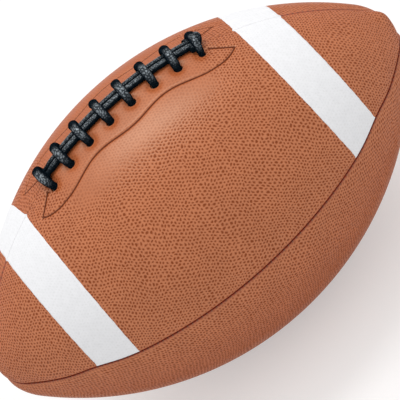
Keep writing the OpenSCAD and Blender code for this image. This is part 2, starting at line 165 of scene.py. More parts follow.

# Half a cross lace, from the seam to its hole: distance across, height and half width in mm,
# and how much painted highlight and gloss its near half gets
HALF_CROSS = [
    (0.0, 0.0, 2.4, 0.1), (2.8, -0.05, 2.5, 0.9), (4.7, -0.75, 2.6, 1.0), (6.4, -2.0, 2.55, 0.85),
    (7.9, -3.7, 2.45, 0.25), (9.0, -5.6, 2.3, 0.0), (9.8, -8.0, 2.0, 0.0),
]

# How far each cross leans along the ball, in mm
CROSS_LEANS = [0.25, -0.2, 0.1, 0.3, -0.15, 0.2, -0.25, -0.3]

# The stitch line of the facings, as in the CAD model but spreading a little towards its ends
FACING_REACH = 21 * MM
FACING_WAVE = 1.9 * MM
FACING_WAVE_LENGTH = 49.5 * MM
FACING_SPREAD = 1.8 * MM
FACING_POINT = 69.5 * MM
FACING_POINT_REACH = 17 * MM
FACING_END = (57.6 * MM, 8.0 * MM)
FACING_FALL_POWER = 3.0
FACING_POINTS = 240
GROOVE_DEPTH = 0.6 * MM
GROOVE_W = 0.85 * MM
DIMPLE_DEPTH = 0.75 * MM
DIMPLE_W = 2.4 * MM

# The facing's thread lies in its groove and dips at each stitch hole
THREAD_R = 0.4 * MM
THREAD_SIDES = 8
THREAD_STEP = 0.28 * MM
THREAD_SHOWS = 0.7
FAR_THREAD_SINK = 0.25 * MM
FACING_STITCH = 3.4 * MM
FACING_DIP = 0.15 * MM
FACING_DIP_POWER = 8

# The seams' stitches are short threads that dive at both ends
SEAM_STITCH = 3.1 * MM
STITCH_HALF = 1.15 * MM
STITCH_R = 0.34 * MM
STITCH_SIDES = 6
STITCH_POINTS = 9
STITCH_DIVE = 0.6 * MM
DIVE_POWER = 4
STITCH_DEPTH = 0.6 * MM
LACE_STITCH_DEPTH = 0.75 * MM

# White stripes on the lace panels: each edge has a shift at the lace seam and more at the side seam
STRIPE_INNER = SIDE_R * math.radians(24.26)
STRIPE_OUTER = SIDE_R * math.radians(32.26)
INNER_SHIFT = (-0.5 * MM, 2.6 * MM)
OUTER_SHIFT = (1.2 * MM, 0.8 * MM)
STRIPE_FAR_SLANT = 0.09
STRIPE_ROWS = 40
STRIPE_LIFT = 0.16 * MM
STRIPE_EDGE_LIFT = 0.35
STRIPE_EDGE_W = 0.5 * MM
STRIPE_SINK = 0.05 * MM
STRIPE_LACE_GAP = 0.1 * MM
STRIPE_SIDE_GAP = 1.0 * MM
STRIPE_BLEED = 0.9 * MM
STRIPE_BLEED_W = 1.3 * MM
STRIPE_WOBBLE = 0.06 * MM
WOBBLE_WAVES = (3.1 * MM, 1.3 * MM)

# The valve sits in the middle of the far belly panel
VALVE_MIDDLE = BALL_R * QUARTER / 2
VALVE_HOLE_R = 4.6 * MM
VALVE_ROOM = VALVE_HOLE_R + 3 * MM

# The camera, solved from the photo's outline, seams and stripes
CAMERA_PLACE = Vector((-12.27, -965.68, 796.26)) * MM
CAMERA_RIGHT = Vector((0.74569, -0.40241, -0.53105))
CAMERA_UP = Vector((0.66620, 0.43721, 0.60417))
CAMERA_BACK = Vector((-0.01094, -0.80431, 0.59411))
CAMERA_LENS = 196.02
CAMERA_CLIP = (0.05, 50.0)

# Studio light: an even world, a long soft box above, and a pale floor that also glows to the camera
WHITE = (1, 1, 1, 1)
WORLD_GLOW = 0.8
KEY_DIRECTION = Vector((0.08, 0.18, 0.97))
KEY_DISTANCE = 1.2
KEY_SIZE = (0.7, 0.15)
KEY_POWER = 3.8
FLOOR_SIZE = 6.0
FLOOR_DARK = (0.64, 0.64, 0.64, 1)
FLOOR_LIGHT = (0.66, 0.66, 0.66, 1)
FLOOR_GLOW = 0.4

# Guards against dividing by almost 0, and how many places are worked on at once
TINY = 1e-12
LEAST_GAP = 1e-6
LEAST_RISE = 0.2
CHUNK = 20000


def smooth(value):
    """A smooth step from 0 to 1."""
    share = np.clip(value, 0.0, 1.0)
    return share * share * (3 - 2 * share)


def outline(station):
    """Place along the axis, radius and tilt of the surface at an arc length from the middle."""
    arc = np.abs(station)
    on_side = arc < SIDE_ARC
    tilt = np.where(on_side, arc / SIDE_R, NOSE_TURN + (arc - SIDE_ARC) / NOSE_R)
    along = np.where(on_side, SIDE_R * np.sin(tilt), NOSE_CENTRE + NOSE_R * np.sin(tilt))
    out = np.where(on_side, SIDE_R * np.cos(tilt) - SIDE_R + BALL_R, NOSE_R * np.cos(tilt))
    return np.sign(station) * along, out, np.sign(station) * tilt


def surface(station, turn, height):
    """Points at a height above the ball's surface, for a station along it and a turn about its axis."""
    along, out, tilt = outline(station)
    x = along + height * np.sin(tilt)
    radius = out + height * np.cos(tilt)
    turn = turn - seam_wander(station) / np.maximum(out, NOSE_R / 4) * np.sin(turn)
    return np.stack([x, -radius * np.sin(turn), BALL_R + radius * np.cos(turn)], axis=-1)


def seam_wander(station):
    """How far both side seams lie towards the laces, which they do most a little before the tips."""
    return WANDER * np.exp(-(((np.abs(station) - WANDER_PLACE) / WANDER_W) ** 2))


def tip_share(station):
    """0 along the side of the ball, rising to 1 at its tips."""
    return smooth((np.abs(station) - TIP_START) / (TIP_ARC - TIP_START))


def roll(distance, radius):
    """Drop of a rounded shoulder at a distance from the seam's plane."""
    inside = np.clip(radius - distance, 0.0, radius)
    return radius - np.sqrt(radius ** 2 - inside ** 2)


def seam_distances(station, quarter_turn):
    """Distances from the planes of both seams of a panel."""
    out = outline(station)[1]
    return out * np.sin(quarter_turn), out * np.cos(quarter_turn)


def seam_drop(station, quarter_turn, shoulders):
    """How far the cover sinks below the ball's surface near its seams."""
    tip = tip_share(station)
    sink = SEAM_SINK + (SEAM_SINK_TIP - SEAM_SINK) * tip
    drops = [
        roll(d, shoulder + (SHOULDER_TIP - shoulder) * tip) + sink * np.exp(-((d / SEAM_SINK_W) ** 2))
        for d, shoulder in zip(seam_distances(station, quarter_turn), shoulders)
    ]
    return np.hypot(*drops)


def ridge(station, across):
    """How far the lips of the cover stand up under the lacing."""
    fade = smooth((RIDGE_HALF + RIDGE_FADE / 2 - np.abs(station)) / RIDGE_FADE)
    return RIDGE * fade * np.exp(-((across / RIDGE_W) ** 2))


def facing_line(along):
    """Distance of the facing stitch line from the lace seam, at a station along the ball."""
    reach = np.abs(along)
    wave = FACING_REACH + FACING_WAVE * np.cos(2 * math.pi * along / FACING_WAVE_LENGTH)
    wave = wave + FACING_SPREAD * (along / FACING_WAVE_LENGTH) ** 2
    share = np.clip((reach - FACING_WAVE_LENGTH) / (FACING_POINT - FACING_WAVE_LENGTH), 0.0, 1.0)
    top = FACING_REACH + FACING_WAVE + FACING_SPREAD
    fall = (top - FACING_POINT_REACH) * share ** FACING_FALL_POWER
    return np.where(reach < FACING_WAVE_LENGTH, wave, top - fall)


def run_along(points):
    """Length from the start of a polyline to each of its points."""
    lengths = np.linalg.norm(np.diff(points, axis=0), axis=1)
    return np.concatenate([[0.0], np.cumsum(lengths)])


def resampled(points, step):
    """The same polyline with points a step apart."""
    run = run_along(points)
    places = np.linspace(0.0, run[-1], int(round(run[-1] / step)) + 1)
    return np.stack([np.interp(places, run, column) for column in points.T], axis=1)


def facing_path(step):
    """The whole stitch line of one facing, from end to end, as stations and distances across."""
    stations = np.linspace(-FACING_POINT, FACING_POINT, FACING_POINTS)
    wave = np.stack([stations, facing_line(stations)], axis=1)
    ends = np.array([FACING_END])
    return resampled(np.concatenate([ends * [-1, 1], wave, ends]), step)


def lace_hole_places():
    """Station, distance across and radius of each hole beside the lace seam."""
    holes = [(FIRST_CROSS + i * LACE_PITCH, LACE_HOLE_REACH, LACE_HOLE_R) for i in range(LACE_CROSSES - 1)]
    drawn_in = (-FIRST_CROSS, LACE_HOLE_REACH, LACE_HOLE_R * (1 - LAST_THINNING))
    return holes + [drawn_in, (FIRST_CROSS, NOTCH_REACH, NOTCH_R)]


def distance_to_path(station, across, path):
    """Distance from each place to the nearest point of a path, all as lengths on the surface."""
    flat = np.stack([station.ravel(), across.ravel()], axis=1)
    least = [
        np.linalg.norm(part[:, None] - path[None], axis=2).min(axis=1)
        for part in np.array_split(flat, len(flat) // CHUNK + 1)
    ]
    return np.concatenate(least).reshape(station.shape)


def lacing_drop(station, across):
    """Groove of the facing stitches, the ridge under the lacing, and a dimple round each lace hole."""
    groove = distance_to_path(station, across, facing_path(FINE_STEP))
    drop = GROOVE_DEPTH * np.exp(-((groove / GROOVE_W) ** 2)) - ridge(station, across)
    scale = outline(station)[1] / BALL_R
    for hole_station, hole_across, radius in lace_hole_places():
        away = np.hypot(station - hole_station, (across - hole_across) * scale)
        drop = drop + DIMPLE_DEPTH * np.exp(-(np.clip(away - radius, 0.0, None) / DIMPLE_W) ** 2)
    return drop


def tip_lobe(station, near_turn):
    """How far the cover bulges by the right tip, at a turn from the lace seam to the near side."""
    away = np.hypot(station - LOBE_STATION, (near_turn - LOBE_TURN) * outline(station)[1])
    return LOBE_RISE * np.exp(-((away / LOBE_W) ** 2))


def spaced(length, zones):
    """Places from 0 to a length: close together at both ends and in the zones, wider elsewhere."""
    places = [0.0]
    while places[-1] < length:
        at = places[-1]
        inside = any(low <= at <= high for low, high in zones)
        step = FINE_STEP if inside else COARSE_STEP
        to_edge = max(min(at, length - at), 0.0)
        places.append(at + min(step, EDGE_STEP + EDGE_GROWTH * to_edge))
    return np.array(places) * (length / places[-1])


def turn_at(distance, radius):
    """Turn that lies at a distance from the seam's plane, up to a limit."""
    return np.minimum(np.arcsin(np.clip(distance / radius, 0.0, 1.0)), TURN_LIMIT)


def linked(made):
    bpy.context.scene.collection.objects.link(made)
    return made


def make_mesh(name, points, groups, grain, values=()):
    """A mesh object from points and groups of faces, with a grain map for the faces' corners."""
    used = np.unique(np.concatenate([faces.ravel() for faces in groups]))
    renumber = np.full(len(points), -1)
    renumber[used] = np.arange(len(used))
    mesh = bpy.data.meshes.new(name)
    mesh.from_pydata(points[used].tolist(), [], [f for faces in groups for f in renumber[faces].tolist()])
    layer = mesh.uv_layers.new(name="grain", do_init=False)
    layer.uv.foreach_set("vector", grain.astype(np.float32).ravel())
    for value_name, numbers in values:
        attribute = mesh.attributes.new(value_name, "FLOAT", "POINT")
        attribute.data.foreach_set("value", numbers[used].astype(np.float32))
    mesh.shade_smooth()
    mesh.validate()
    return linked(bpy.data.objects.new(name, mesh))


def turned_out(made):
    """Makes every face of a closed mesh point outwards."""
    work = bmesh.new()
    work.from_mesh(made.data)
    bmesh.ops.recalc_face_normals(work, faces=work.faces)
    work.to_mesh(made.data)
    work.free()
    return made


def corners_of(groups, places):
    """Map places of each face corner, from the places of the points."""
    return np.concatenate([places[faces].reshape(-1, 2) for faces in groups])


def with_ends(values):
    """Values of a tube's rings, with 0 for the two points at its ends that follow them."""
    return np.concatenate([values, np.zeros((2,) + values.shape[1:])])


def end_fans(rows, sides, start):
    """Faces that close both ends of a tube, round the two points that follow its rings."""
    first = start + np.arange(sides)
    last = first + (rows - 1) * sides
    head = np.full(sides, start + rows * sides)
    return np.concatenate([
        np.stack([head, np.roll(first, -1), first], axis=1),
        np.stack([head + 1, last, np.roll(last, -1)], axis=1),
    ])


def grid_faces(rows, columns, first, closed):
    """Faces of a grid of points that starts at number first, closed round its columns or not."""
    row = np.arange(rows - 1)[:, None]
    column = np.arange(columns if closed else columns - 1)[None, :]
    following = (column + 1) % columns
    a = first + row * columns + column
    b = first + row * columns + following
    return np.stack([a, b, b + columns, a + columns], axis=-1)


def cell_middles(grid):
    """Means of the four corners of every cell of a grid."""
    return (grid[1:, 1:] + grid[:-1, 1:] + grid[1:, :-1] + grid[:-1, :-1]) / 4


def hole_cells(station, across, holes):
    """Which cells of a panel's grid lie in a hole, and the grid moved so that its edge is round."""
    scale = outline(station)[1] / BALL_R
    cut = np.zeros((station.shape[0] - 1, station.shape[1] - 1), bool)
    for hole_station, hole_across, radius in holes:
        x = cell_middles(station) - hole_station
        y = (cell_middles(across) - hole_across) * cell_middles(scale)
        inside = np.hypot(x, y) < radius
        cut |= inside
        touched = cell_middles(np.pad(inside.astype(float), 1))
        rim = (touched > 0) & (touched < 1)
        dx = station - hole_station
        dy = (across - hole_across) * scale
        grow = radius / np.maximum(np.hypot(dx, dy), FINE_STEP / 10)
        station = np.where(rim, hole_station + dx * grow, station)
        across = np.where(rim, hole_across + dy * grow / scale, across)
    return cut, station, across


def hole_walls(cut, outer, inner):
    """Faces between the outer and the inner surface, round every hole."""
    walls = []
    cells = np.pad(cut, 1).astype(int)
    for axis in (0, 1):
        steps = np.diff(cells, axis=axis)
        for i, j in np.argwhere(steps):
            a, b = ((i, j), (i - 1, j)) if axis else ((i, j - 1), (i, j))
            if steps[i, j] < 0:
                a, b = b, a
            walls.append([outer[a], outer[b], inner[b], inner[a]])
    return np.array(walls, int).reshape(-1, 4)


def panel_grid(along_zones, across_zones, holes):
    """Rows and columns of a panel's grid, the cells in its holes, its stations and distances across."""
    zones = [(low + TIP_ARC, high + TIP_ARC) for low, high in along_zones]
    rows = spaced(2 * TIP_ARC, zones) - TIP_ARC
    columns = spaced(BALL_R * QUARTER, across_zones)
    return rows, columns, *hole_cells(*np.meshgrid(rows, columns, indexing="ij"), holes)


def inner_columns(columns, across_zones):
    """The columns that the plainer inner face keeps: one in a few, and all in the zones."""
    return np.array([
        k for k, place in enumerate(columns)
        if k % INNER_SKIP == 0 or any(low <= place <= high for low, high in across_zones)
    ])


def inner_turns(station, turn):
    """Turns of the inner face, drawn in at both seams to make room for the flanges."""
    flange = turn_at(COVER_T, outline(station)[1] - FLANGE_BOTTOM / 2)
    squeeze = turn * INNER_SQUEEZE
    drawn_in = np.maximum(turn, flange + squeeze)
    return np.minimum(drawn_in, QUARTER - flange - (QUARTER * INNER_SQUEEZE - squeeze))


def flange_feet(station, edge_depth, seam, side):
    """The four lower edges of a panel's flanges, from the second seam to the first."""
    shortened = FLANGE_BOTTOM * (1 - FLANGE_TIP_LOSS * tip_share(station))
    depth = np.maximum(shortened, edge_depth + COVER_T)
    out = outline(station)[1]
    at_depth = np.maximum(out - depth, out * LEAST_FOOT)
    outer = turn_at(SEAM_GAP, at_depth)
    inner = turn_at(COVER_T, at_depth)
    return [
        surface(station, seam + side * turn, -depth)
        for turn in (QUARTER - outer, QUARTER - inner, inner, outer)
    ]


def panel_faces(rows, count, keep, cut, side):
    """Faces of a panel: its section without the holes, the holes' walls, and a fan at each tip."""
    numbers = np.arange(rows * count).reshape(rows, count)
    columns = cut.shape[1] + 1
    inner_numbers = np.zeros((rows, columns), int)
    inner_numbers[:, keep] = numbers[:, columns + 1 + len(keep) - np.arange(len(keep))]
    cells = grid_faces(rows, count, 0, True)
    opened = np.zeros(cells.shape[:2], bool)
    opened[:, :columns - 1] = cut
    for j in np.flatnonzero(cut.any(axis=0)):
        opened[:, inner_numbers[0, j + 1]] = cut[:, j]
    section = cells[~opened]
    walls = hole_walls(cut, numbers[:, :columns], inner_numbers)
    fans = end_fans(rows, count, 0)
    if side < 0:
        return [section[:, ::-1], walls, fans[:, ::-1]]
    return [section, walls[:, ::-1], fans]


def stain_distance(station, turn, laced):
    """Distance in mm from a panel's stained seams, more than it is where the stain is narrower."""
    to_first, to_second = seam_distances(station, turn)
    if laced:
        between_stripes = smooth((STRIPE_OUTER - np.abs(station)) / LACE_SEAM_FADE)
        to_first = to_first * (1 + (LACE_SEAM_SHARPNESS - 1) * between_stripes)
    return np.minimum(to_first, to_second) / MM


def wash_zone_share(station, across):
    """1 beside the lacing, where the highlight falls and the grain is painted weaker, fading to 0 away from
    it.
    """
    beside = smooth((WASH_WIDTH - across) / WASH_FADE)
    return beside * smooth((WASH_HALF - np.abs(station)) / WASH_FADE)


def grain_places(station, turn):
    """Places on the leather's grain in mm: along the ball, and across from the panel's middle."""
    across = (turn - QUARTER / 2) * outline(station)[1]
    return np.stack([station, across], axis=-1) / MM


def panel(name, node, seam, side, along_zones, across_zones, holes):
    """One leather panel as a closed sheet, with rolled seam edges, flanges and real holes.

    The grid runs along the ball in rows, and round the panel's section in columns: its outer
    face, the flange of its second seam, its inner face and the flange of its first seam.
    """
    rows, columns, cut, station, across = panel_grid(along_zones, across_zones, holes)
    row_station = rows[:, None]
    laced = seam == LACE_SEAM
    edge = turn_at(SEAM_GAP, outline(station)[1])
    turn = np.clip(across / BALL_R, edge, QUARTER - edge)
    depth = seam_drop(station, turn, LACE_SHOULDERS if laced else BELLY_SHOULDERS)
    if laced:
        depth = depth + lacing_drop(station, across) - tip_lobe(station, side * across / BALL_R)
    outer_face = surface(station, seam + side * turn, -depth)
    keep = inner_columns(columns, across_zones)
    inner_turn = inner_turns(station[:, keep], turn[:, keep])
    inner_face = surface(station[:, keep], seam + side * inner_turn, -(depth[:, keep] + COVER_T))
    feet = flange_feet(row_station, depth[:, :1], seam, side)
    ring = np.concatenate([outer_face, *feet[:2], inner_face[:, ::-1], *feet[2:]], axis=1)
    points = np.concatenate([ring.reshape(-1, 3), ring[[0, -1]].mean(axis=1)])
    count = ring.shape[1]

    def all_round(values, elsewhere=0.0):
        """Values of the outer face, with others on the rest of the section."""
        rest = elsewhere + np.zeros((len(rows), count - len(columns)))
        return np.concatenate([values, rest], axis=1).ravel()

    grain = with_ends(grain_places(all_round(station, row_station), all_round(turn)))
    stain_and_shade = with_ends(all_round(stain_distance(station, turn, laced)))
    # The share in which the grain is painted weaker, where the highlight falls by the lacing
    highlight_wash = with_ends(all_round(wash_zone_share(station, across) * laced))
    groups = panel_faces(len(rows), count, keep, cut, side)
    values = [("seam_mm", stain_and_shade), ("highlight_wash", highlight_wash)]
    made = make_mesh(name, points, groups, corners_of(groups, grain), values)
    made.data.set_sharp_from_angle(angle=SHARP_ANGLE)
    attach(made, BODY)
    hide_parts(node)
    return made


def shell(name, top, bottom, grain):
    """A thin closed sheet between two grids of points."""
    rows, columns = top.shape[:2]
    count = rows * columns
    upper = grid_faces(rows, columns, 0, False).reshape(-1, 4)
    numbers = np.arange(count).reshape(rows, columns)
    rim = np.concatenate([numbers[0, :-1], numbers[:-1, -1], numbers[-1, :0:-1], numbers[:0:-1, 0]])
    following = np.roll(rim, -1)
    edge = np.stack([following, rim, rim + count, following + count], axis=1)
    groups = [upper, upper[:, ::-1] + count, edge]
    points = np.concatenate([top.reshape(-1, 3), bottom.reshape(-1, 3)])
    flat = np.concatenate([grain.reshape(-1, 2)] * 2)
    return make_mesh(name, points, groups, corners_of(groups, flat))


def stripe(name, node, side, end):
    """A white stripe painted over one lace panel, down into both its seams."""
    width = BALL_R * QUARTER
    share, across = np.meshgrid(np.linspace(0.0, 1.0, STRIPE_ROWS), spaced(width, []), indexing="ij")
    slant = (across / width) ** 2
    inner = STRIPE_INNER + INNER_SHIFT[0] + INNER_SHIFT[1] * slant
    outer = STRIPE_OUTER + OUTER_SHIFT[0] + OUTER_SHIFT[1] * slant
    station = end * (inner + share * (outer - inner))
    if side < 0 and end < 0:
        station = station - (1 - share) * STRIPE_FAR_SLANT * across
    out = outline(station)[1]
    turn = np.clip(across / BALL_R, turn_at(STRIPE_LACE_GAP, out), QUARTER - turn_at(STRIPE_SIDE_GAP, out))
    nearest = np.minimum(*seam_distances(station, turn))
    bleed = STRIPE_BLEED * np.exp(-((nearest / STRIPE_BLEED_W) ** 2))
    wobble = STRIPE_WOBBLE * (np.sin(across / WOBBLE_WAVES[0]) + np.sin(across / WOBBLE_WAVES[1] + end))
    station = station + (2 * share - 1) * end * bleed + wobble
    drop = seam_drop(station, turn, LACE_SHOULDERS)
    at_edge = np.minimum(share, 1 - share) * (STRIPE_OUTER - STRIPE_INNER)
    lift = STRIPE_LIFT * (STRIPE_EDGE_LIFT + (1 - STRIPE_EDGE_LIFT) * smooth(at_edge / STRIPE_EDGE_W))
    top = surface(station, side * turn, lift - drop)
    bottom = surface(station, side * turn, -drop - STRIPE_SINK)
    made = turned_out(shell(name, top, bottom, grain_places(station, turn)))
    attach(made, BODY)
    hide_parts(node)
    return made


def unit(vectors):
    return vectors / np.maximum(np.linalg.norm(vectors, axis=-1, keepdims=True), TINY)


def section_rings(path, start, sides, squareness=2.0):
    """Directions from a path to the points of its section, carried along it without twist."""
    headings = unit(np.gradient(path, axis=0))
    side = [np.array(start)]
    for heading in headings:
        side.append(unit(side[-1] - heading * np.dot(side[-1], heading)))
    side = np.array(side[1:])
    other = np.cross(headings, side)
    angle = 2 * math.pi * np.arange(sides) / sides
    power = 2 / squareness
    cosine = np.sign(np.cos(angle)) * np.abs(np.cos(angle)) ** power
    sine = np.sign(np.sin(angle)) * np.abs(np.sin(angle)) ** power
    return side[:, None] * cosine[None, :, None] + other[:, None] * sine[None, :, None]


def tube(name, route, sides, place, squareness=2.0):
    """A closed tube along (along, across, height, radius, highlight and gloss share) points, put on the ball
    by place().
    """
    rows = len(route)
    path = route[:, :3]
    radii = route[:, 3]
    highlight_and_gloss = route[:, 4]
    round_it = section_rings(path, (0.0, 1.0, 0.0), sides, squareness)
    rise = np.clip(round_it[..., 2], 0.0, 1.0)
    crown = (rise / np.maximum(rise.max(axis=1, keepdims=True), LEAST_RISE)).ravel()
    rings = place(path[:, None] + radii[:, None, None] * round_it)
    points = np.concatenate([rings.reshape(-1, 3), place(path[[0, -1]])])
    cells = grid_faces(rows, sides, 0, True).reshape(-1, 4)
    fans = end_fans(rows, sides, 0)
    cell_row, cell_column = np.divmod(np.arange(len(cells)), sides)
    row = cell_row[:, None] + [0, 0, 1, 1]
    column = cell_column[:, None] + [0, 1, 1, 0]
    side_mm = 2 * math.pi * radii.mean() / sides / MM
    cell_places = np.stack([run_along(path)[row] / MM, column * side_mm], axis=-1).reshape(-1, 2)
    grain = np.concatenate([cell_places, np.zeros((fans.size, 2))])
    # Each ring's share of painted highlight and gloss, and how far it faces up
    values = [("crown", with_ends(crown)), ("lace_highlight_gloss", with_ends(np.repeat(highlight_and_gloss, sides)))]
    made = make_mesh(name, points, [cells, fans], grain, values)
    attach(made, BODY)
    return turned_out(made)


def on_ball(points):
    """Places given as (along, across, height) on the cover, which stands up in the ridge."""
    height = points[..., 2] + ridge(points[..., 0], points[..., 1])
    return surface(points[..., 0], points[..., 1] / BALL_R, height)


def pressed_on_ball(points):
    """The same for the lace, which is pressed flat."""
    return on_ball(points * (1.0, 1.0, LACE_PRESS))


def bend(at, heading, level, ends_upright):
    """Quarter turn between upright and a flat heading at a level over or under the cover."""
    turns = np.linspace(0.0, QUARTER, BEND_POINTS)
    if ends_upright:
        turns = turns[::-1]
    return [
        (
            at[0] + heading[0] * BEND_R * (1 - math.cos(a)),
            at[1] + heading[1] * BEND_R * (1 - math.cos(a)),
            level - math.copysign(BEND_R * (1 - math.sin(a)), level),
            HIDDEN_R, 0.0,
        )
        for a in turns
    ]


def inner_run(start, end):
    """Hidden run of the lace from one hole to the next, below the facings."""
    span = np.array(end) - np.array(start)
    heading = span / np.linalg.norm(span)
    return bend(start, heading, INNER_LEVEL, False) + bend(end, -heading, INNER_LEVEL, True)


def cross_lace(x, lean, thinning):
    """One cross lace, up out of the far hole, over both strands and down into the near hole."""
    far = []
    near = []
    for across_mm, rise_mm, radius_mm, highlight_and_gloss in HALF_CROSS:
        across = across_mm * MM
        height = CROSS_HEIGHT + rise_mm * MM
        share = across / LACE_HOLE_REACH
        # The far half gets neither painted highlight nor gloss; the near half gets the table's share
        if across > 0:
            far.insert(0, (x - lean * share, -across, height, radius_mm * MM, 0.0))
        near.append((x + lean * share, across, height, radius_mm * MM * (1 - thinning * share), highlight_and_gloss))
    return far + near


def strand(side, backwards):
    stations = np.linspace(FIRST_CROSS + BEND_R, -FIRST_CROSS, STRAND_POINTS)
    if backwards:
        stations = stations[::-1]
    highlight_and_gloss = NEAR_STRAND_HIGHLIGHT if side > 0 else FAR_STRAND_HIGHLIGHT
    # The strand's painted highlight and gloss set in over a length from its left end
    highlight_gloss_share = highlight_and_gloss * smooth((stations - stations.min()) / STRAND_END_FADE)
    return [(x, side * STRAND_REACH, STRAND_HEIGHT, STRAND_R, w) for x, w in zip(stations, highlight_gloss_share)]


def strand_loop():
    """The rounded loop in which the strands meet past the last cross."""
    centre = -FIRST_CROSS + LOOP_LEAD
    return [
        (
            centre + LOOP_R * math.cos(a), LOOP_R * math.sin(a),
            STRAND_HEIGHT + LOOP_RISE * math.cos(a) ** 2, STRAND_R * LOOP_WIDEN, LOOP_HIGHLIGHT,
        )
        for a in np.linspace(LOOP_TURN, -LOOP_TURN, LOOP_POINTS)
    ]


def lace_route():
    """The whole lace from tail to tail, as (along, across, height, radius, highlight and gloss share) points.
    """
    notch = (FIRST_CROSS, STRAND_REACH)
    back = (FIRST_CROSS, -STRAND_REACH)
    holes = [FIRST_CROSS + i * LACE_PITCH for i in range(LACE_CROSSES)]
    last = (holes[-1], HIDDEN_REACH)
    route = [(notch[0] - TAIL_LENGTH, notch[1], INNER_LEVEL, HIDDEN_R, 0.0)]
    route += bend(notch, (-1, 0), INNER_LEVEL, True)
    route += bend(notch, (1, 0), STRAND_HEIGHT, False)
    route += strand(1, False) + strand_loop() + strand(-1, True)
    route += bend(back, (1, 0), STRAND_HEIGHT, True)
    route += inner_run(back, (holes[0], -HIDDEN_REACH))
    for number, x in enumerate(holes):
        is_last = number == LACE_CROSSES - 1
        route += cross_lace(x, CROSS_LEANS[number] * MM, LAST_THINNING if is_last else 0.0)
        if not is_last:
            route += inner_run((x, HIDDEN_REACH), (holes[number + 1], -HIDDEN_REACH))
    route += bend(last, (1, 0), INNER_LEVEL, False)
    route += [(last[0] + TAIL_LENGTH, last[1], INNER_LEVEL, HIDDEN_R, 0.0)]
    return np.array(route)


def blend(t, start, end, first, last):
    """The place at a moment t, on the way from a first place at start to a last one at end."""
    return (end - t) / (end - start) * first + (t - start) / (end - start) * last


def rounded(points, step):
    """A smooth curve through the points, a step apart, by centripetal Catmull-Rom spans."""
    ends = np.concatenate([[2 * points[0] - points[1]], points, [2 * points[-1] - points[-2]]])
    made = []
    for p0, p1, p2, p3 in zip(ends, ends[1:], ends[2:], ends[3:]):
        gaps = np.linalg.norm(np.diff([p0, p1, p2, p3], axis=0)[:, :3], axis=1)
        if gaps[1] < LEAST_GAP:
            continue
        t0, t1, t2, t3 = np.concatenate([[0.0], np.cumsum(np.sqrt(np.maximum(gaps, LEAST_GAP)))])
        for t in np.linspace(t1, t2, max(2, int(round(gaps[1] / step)) + 1))[:-1]:
            a1 = blend(t, t0, t1, p0, p1)
            a2 = blend(t, t1, t2, p1, p2)
            a3 = blend(t, t2, t3, p2, p3)
            b1 = blend(t, t0, t2, a1, a2)
            b2 = blend(t, t1, t3, a2, a3)
            made.append(blend(t, t1, t2, b1, b2))
    made.append(points[-1])
    return np.array(made)


def lace():
    route = rounded(lace_route(), LACE_STEP)
    made = tube("lace_pebbled", route, LACE_SIDES, pressed_on_ball, LACE_SQUARENESS)
    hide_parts("lace")
    return made


def facing_stitches(name, node, side):
    """The sewing thread of one facing, lying in its groove and dipping into every stitch hole."""
    path = facing_path(THREAD_STEP)
    beat = np.abs(2 * ((run_along(path) / FACING_STITCH) % 1) - 1)
    height = THREAD_R * THREAD_SHOWS - GROOVE_DEPTH - FACING_DIP * beat ** FACING_DIP_POWER
    if side < 0:
        height = height - FAR_THREAD_SINK
    highlight_and_gloss = np.zeros(len(path))
    route = np.stack([path[:, 0], side * path[:, 1], height, highlight_and_gloss + THREAD_R, highlight_and_gloss], axis=1)
    made = tube(name, route, THREAD_SIDES, on_ball)
    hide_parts(node)
    return made


def seam_stitches(name, seam, clear_half, depth):
    """Stitches that lie along a seam's valley and dive at their ends, as one piece of separate threads."""
    share = np.linspace(-1.0, 1.0, STITCH_POINTS)
    ring_points = STITCH_POINTS * STITCH_SIDES
    points = []
    cells = []
    fans = []
    stations = np.arange(-TIP_ARC + 2 * SEAM_STITCH, TIP_ARC - 2 * SEAM_STITCH, SEAM_STITCH)
    for station in stations[np.abs(stations) > clear_half]:
        dive = depth + STITCH_DIVE * share ** DIVE_POWER + SEAM_SINK_TIP * tip_share(station)
        path = surface(station + STITCH_HALF * share, seam, -dive)
        rings = path[:, None] + STITCH_R * section_rings(path, (0.0, 0.3, 1.0), STITCH_SIDES)
        start = len(cells) * (ring_points + 2)
        points += [rings.reshape(-1, 3), path[[0, -1]]]
        cells.append(grid_faces(STITCH_POINTS, STITCH_SIDES, start, True).reshape(-1, 4))
        fans.append(end_fans(STITCH_POINTS, STITCH_SIDES, start))
    points = np.concatenate(points)
    groups = [np.concatenate(cells), np.concatenate(fans)]
    made = make_mesh(name, points, groups, corners_of(groups, points[:, :2] / MM))
    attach(made, BODY)
    return turned_out(made)


# Most of a noise lies between these values
NOISE_SPAN = (0.3, 0.7)
NOISE_MEAN = 0.5


